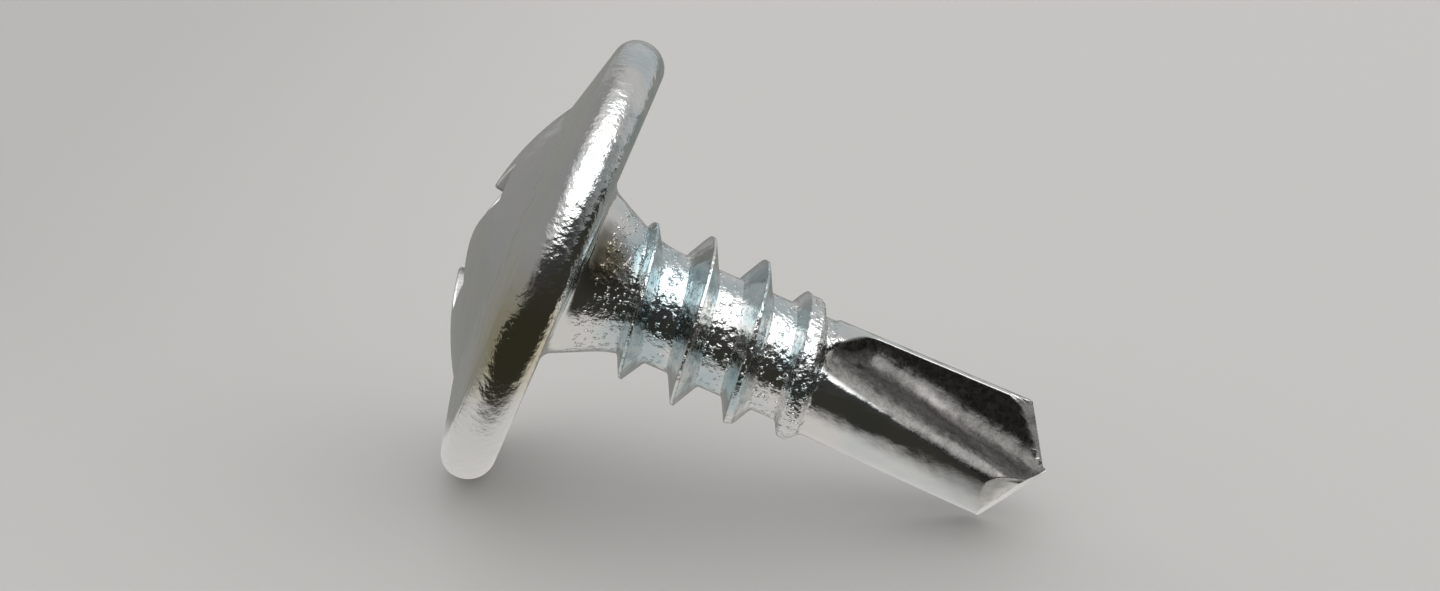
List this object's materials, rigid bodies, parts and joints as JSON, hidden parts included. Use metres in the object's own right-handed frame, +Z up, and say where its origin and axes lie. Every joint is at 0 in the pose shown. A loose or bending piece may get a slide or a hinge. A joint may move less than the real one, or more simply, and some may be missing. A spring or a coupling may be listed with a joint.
{
  "type": "self drilling screw",
  "caption": "Zinc-plated screw with a low wafer head, a cross recess, a coarse right-hand thread and a fluted drill point, lying on its side.",
  "frame": {"origin": "centre of the bounding box's base, on the floor the screw lies on", "axes": "+Z up; the screw's own axis lies in the XZ plane, its drill point towards +X and 19.1 degrees below level"},
  "size_m": [0.0146, 0.0114, 0.0109],
  "materials": {
    "zinc_plate": "bright zinc plating with a faint blue and yellow tint"
  },
  "bodies": {
    "root": {"screw": "zinc_plate"}
  },
  "joints": []
}
